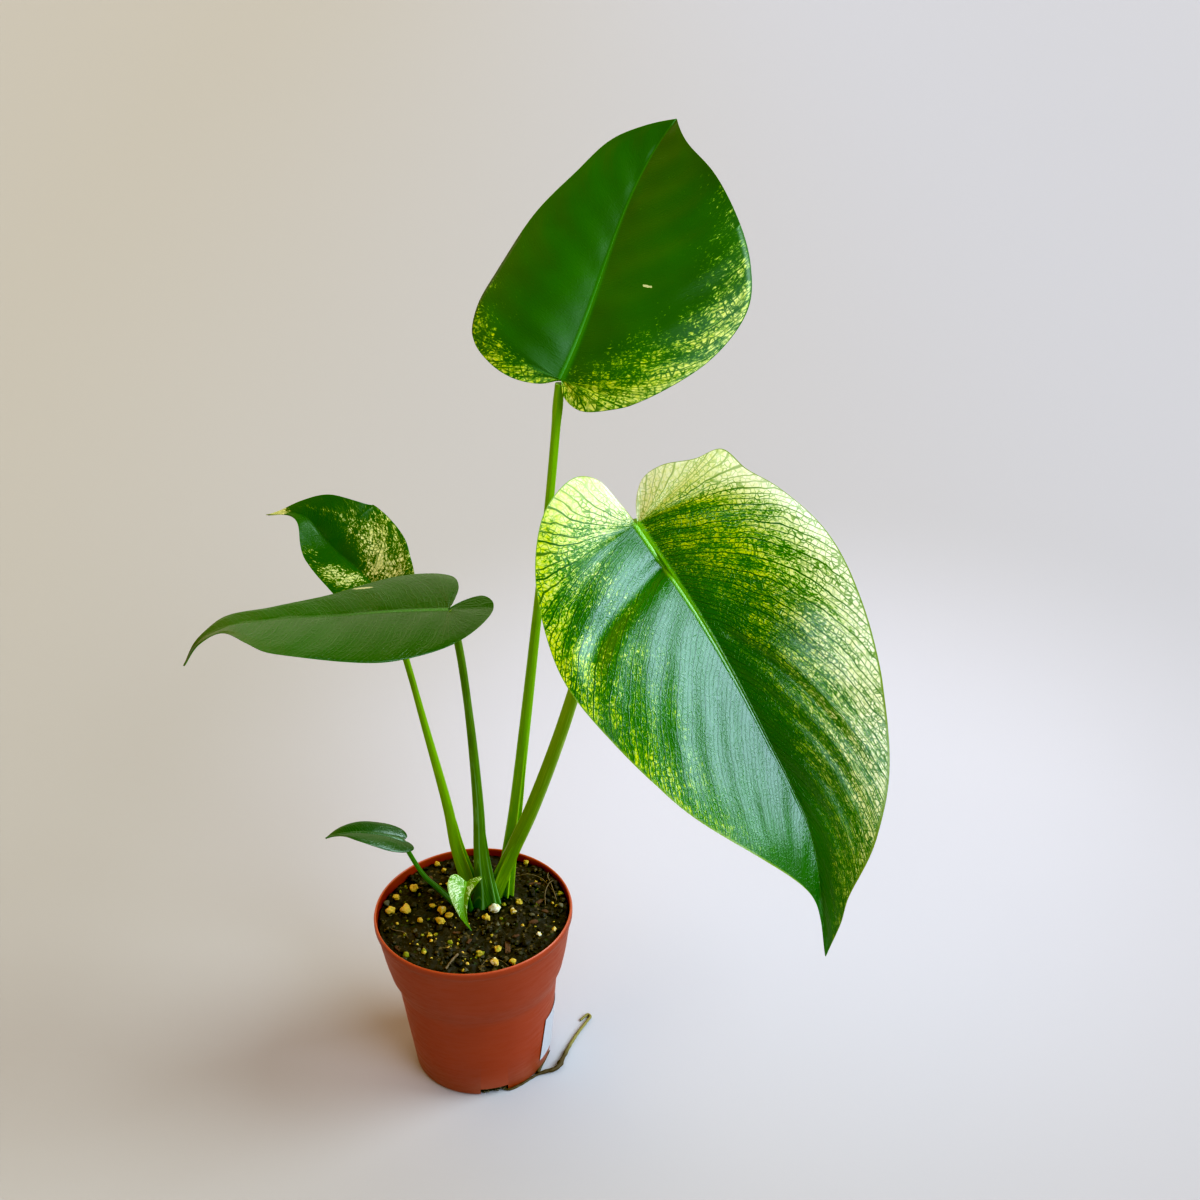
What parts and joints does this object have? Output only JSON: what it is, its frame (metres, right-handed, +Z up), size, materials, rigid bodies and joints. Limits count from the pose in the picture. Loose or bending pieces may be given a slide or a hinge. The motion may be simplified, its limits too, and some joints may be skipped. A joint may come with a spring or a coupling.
{
  "type": "potted monstera house plant",
  "caption": "Young monstera with uncut heart-shaped leaves, some netted with cream, on sheathed stalks in a round plastic nursery pot of soil.",
  "frame": {"origin": "centre of the pot's flat base, on the surface it stands on", "axes": "+Z up along the pot's axis; -Y towards the front, where the large leaf hangs; +X to the right seen from the front"},
  "size_m": [0.3263, 0.2467, 0.4808],
  "materials": {
    "pot_plastic": "satin",
    "label_paper": "matte",
    "soil": "matte",
    "root": "matte",
    "stalk_green": "satin",
    "blade_netted": "satin",
    "blade_green": "satin"
  },
  "bodies": {
    "root": {"pot": "pot_plastic", "label": "label_paper", "soil": "soil", "root": "root", "crown": "stalk_green", "stalk_top": "stalk_green", "stalk_large": "stalk_green", "stalk_back": "stalk_green", "stalk_level": "stalk_green", "stalk_low": "stalk_green", "stalk_tiny": "stalk_green", "blade_top": "blade_netted", "blade_large": "blade_netted", "blade_back": "blade_netted", "blade_level": "blade_green", "blade_low": "blade_green", "blade_tiny": "blade_netted"}
  },
  "joints": []
}
